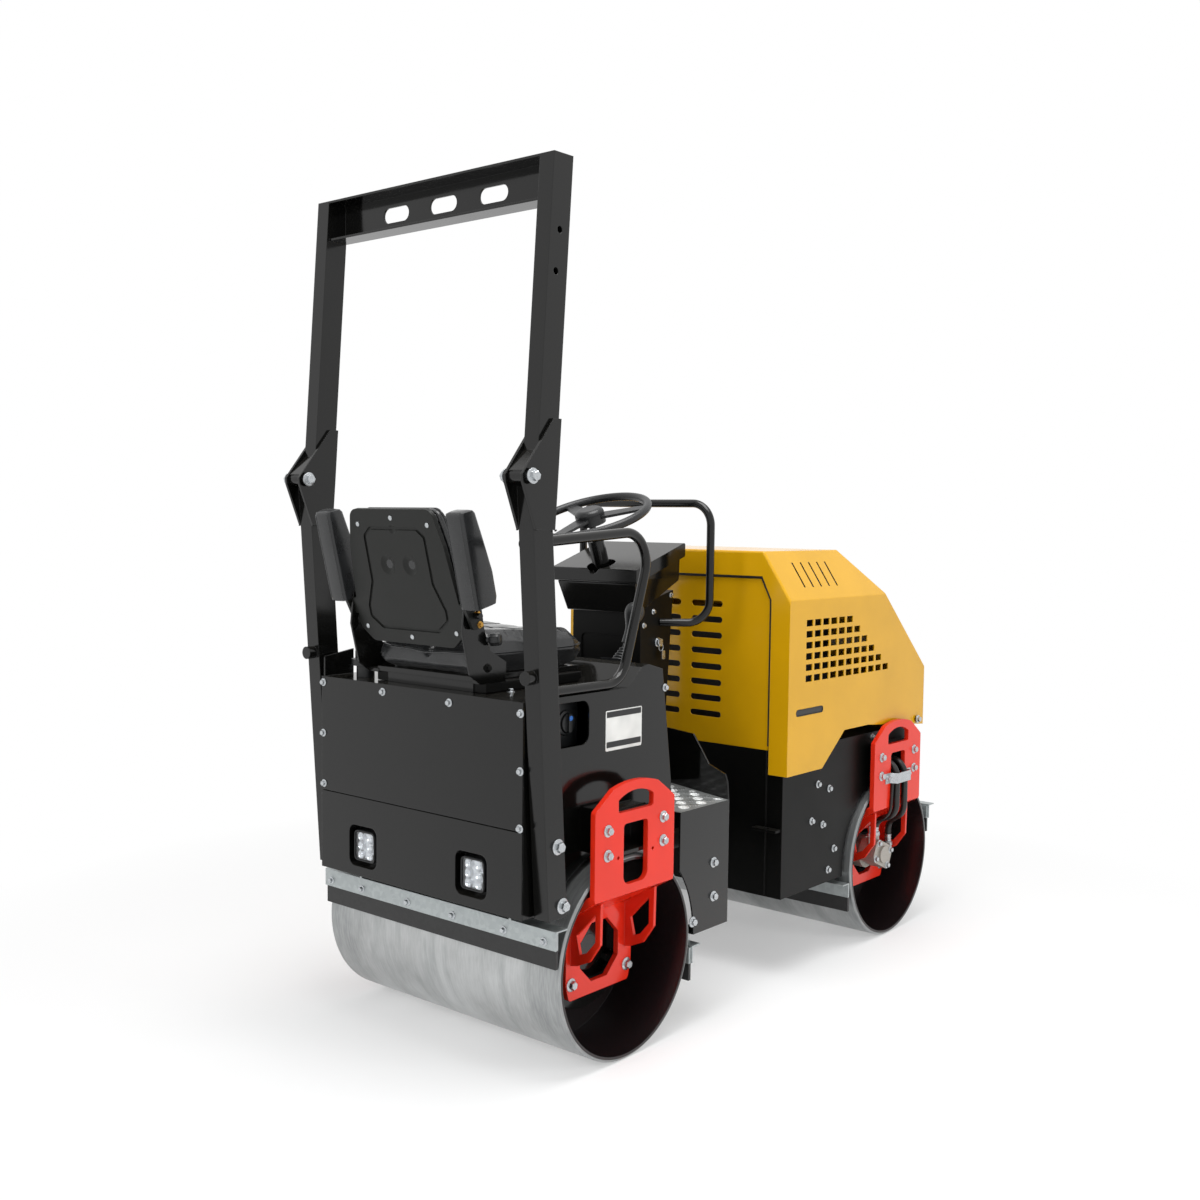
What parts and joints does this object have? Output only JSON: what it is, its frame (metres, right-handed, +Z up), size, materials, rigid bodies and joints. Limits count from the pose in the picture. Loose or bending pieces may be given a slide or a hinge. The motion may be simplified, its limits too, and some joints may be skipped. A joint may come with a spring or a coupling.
{
  "type": "ride-on tandem road roller",
  "caption": "Articulated ride-on tandem roller with smooth drums, folding roll-over hoop, seat and tilting engine hood.",
  "frame": {"origin": "on the ground under the middle of the machine's outline", "axes": "+X forward to the hood, +Y to the operator's left, +Z up"},
  "size_m": [2.2937, 1.01, 2.362],
  "materials": {
    "black_paint": "semi-gloss black",
    "red_paint": "gloss red",
    "yellow_paint": "gloss amber yellow",
    "drum_steel": "turned, dark inside",
    "zinc_steel": "galvanised",
    "chromed_steel": "hard chrome",
    "tread_plate": "black skirts with bright chequer plate on top",
    "seat_vinyl": "black vinyl",
    "black_plastic": "moulded black",
    "lamp": "clear lens in black housing",
    "cast_iron": "cast, grey",
    "hose_rubber": "smooth black hose"
  },
  "bodies": {
    "rear_frame": {"rear_tub": "black_paint", "rear_cover": "black_paint", "rear_lamp_panel": "black_paint", "rear_lamps": "lamp", "rear_yoke": "black_paint", "rear_bracket_right": "red_paint", "rear_bracket_left": "red_paint", "rear_drum_carriers": "black_paint", "rear_scrapers": "zinc_steel", "platform": "tread_plate", "toe_board": "black_paint", "rops_post_right": "black_paint", "rops_post_left": "black_paint", "rops_pins": "zinc_steel", "seat_base": "black_paint", "seat_cushion": "seat_vinyl", "seat_shell": "black_plastic", "seat_back": "seat_vinyl", "console_column": "black_paint", "console_box": "black_paint", "front_handrail": "black_paint", "side_rail": "black_paint", "travel_lever": "black_plastic", "filler_cap": "black_plastic", "steering_cylinder": "black_paint", "rear_motor": "cast_iron", "rear_hoses": "hose_rubber"},
    "rear_drum": {"rear_drum": "drum_steel"},
    "rops_hoop": {"rops_hoop": "black_paint"},
    "armrest_right": {"armrest_right": "seat_vinyl"},
    "armrest_left": {"armrest_left": "seat_vinyl"},
    "steering_wheel": {"steering_wheel": "black_plastic"},
    "steering_rod": {"steering_rod": "chromed_steel"},
    "front_frame": {"front_motors": "cast_iron", "front_hoses": "hose_rubber", "front_chassis": "black_paint", "centre_pin": "zinc_steel", "engine_panel": "yellow_paint", "engine_block": "cast_iron", "front_bracket_right": "red_paint", "front_bracket_left": "red_paint", "front_drum_carriers": "black_paint", "front_scrapers": "zinc_steel"},
    "hood": {"hood": "yellow_paint", "front_lamps": "lamp"},
    "front_drum": {"front_drum": "drum_steel"}
  },
  "joints": [
    {"name": "steer", "type": "hinge", "parent": "rear_frame", "child": "front_frame", "pos_m": [0.0699, 0, 0.45], "axis": [0, 0, 1], "range_deg": [-28, 28]},
    {"name": "rear_drum_spin", "type": "hinge", "parent": "rear_frame", "child": "rear_drum", "pos_m": [-0.6741, 0, 0.28], "axis": [0, 1, 0], "continuous": true},
    {"name": "front_drum_spin", "type": "hinge", "parent": "front_frame", "child": "front_drum", "pos_m": [0.8139, 0, 0.28], "axis": [0, 1, 0], "continuous": true},
    {"name": "rops_fold", "type": "hinge", "parent": "rear_frame", "child": "rops_hoop", "pos_m": [-1.0861, 0, 1.569], "axis": [0, -1, 0], "range_deg": [0, 185]},
    {"name": "hood_open", "type": "hinge", "parent": "front_frame", "child": "hood", "pos_m": [0.9939, 0, 0.752], "axis": [0, 1, 0], "range_deg": [0, 55]},
    {"name": "armrest_right_fold", "type": "hinge", "parent": "rear_frame", "child": "armrest_right", "pos_m": [-1.0441, -0.259, 1.215], "axis": [0, 1, 0], "range_deg": [0, 104]},
    {"name": "armrest_left_fold", "type": "hinge", "parent": "rear_frame", "child": "armrest_left", "pos_m": [-1.0441, 0.259, 1.215], "axis": [0, 1, 0], "range_deg": [0, 104]},
    {"name": "wheel_turn", "type": "hinge", "parent": "rear_frame", "child": "steering_wheel", "pos_m": [-0.3111, 0, 1.46], "axis": [-0.3567, 0, 0.9342], "continuous": true},
    {"name": "steer_rod_slide", "type": "slide", "parent": "rear_frame", "child": "steering_rod", "axis": [0.9998, -0.0222, 0], "range_m": [-0.079, 0.079]}
  ],
  "couplings": [
    {"joint": "steer_rod_slide", "follows": "steer", "m_per_rad": 0.1587}
  ]
}
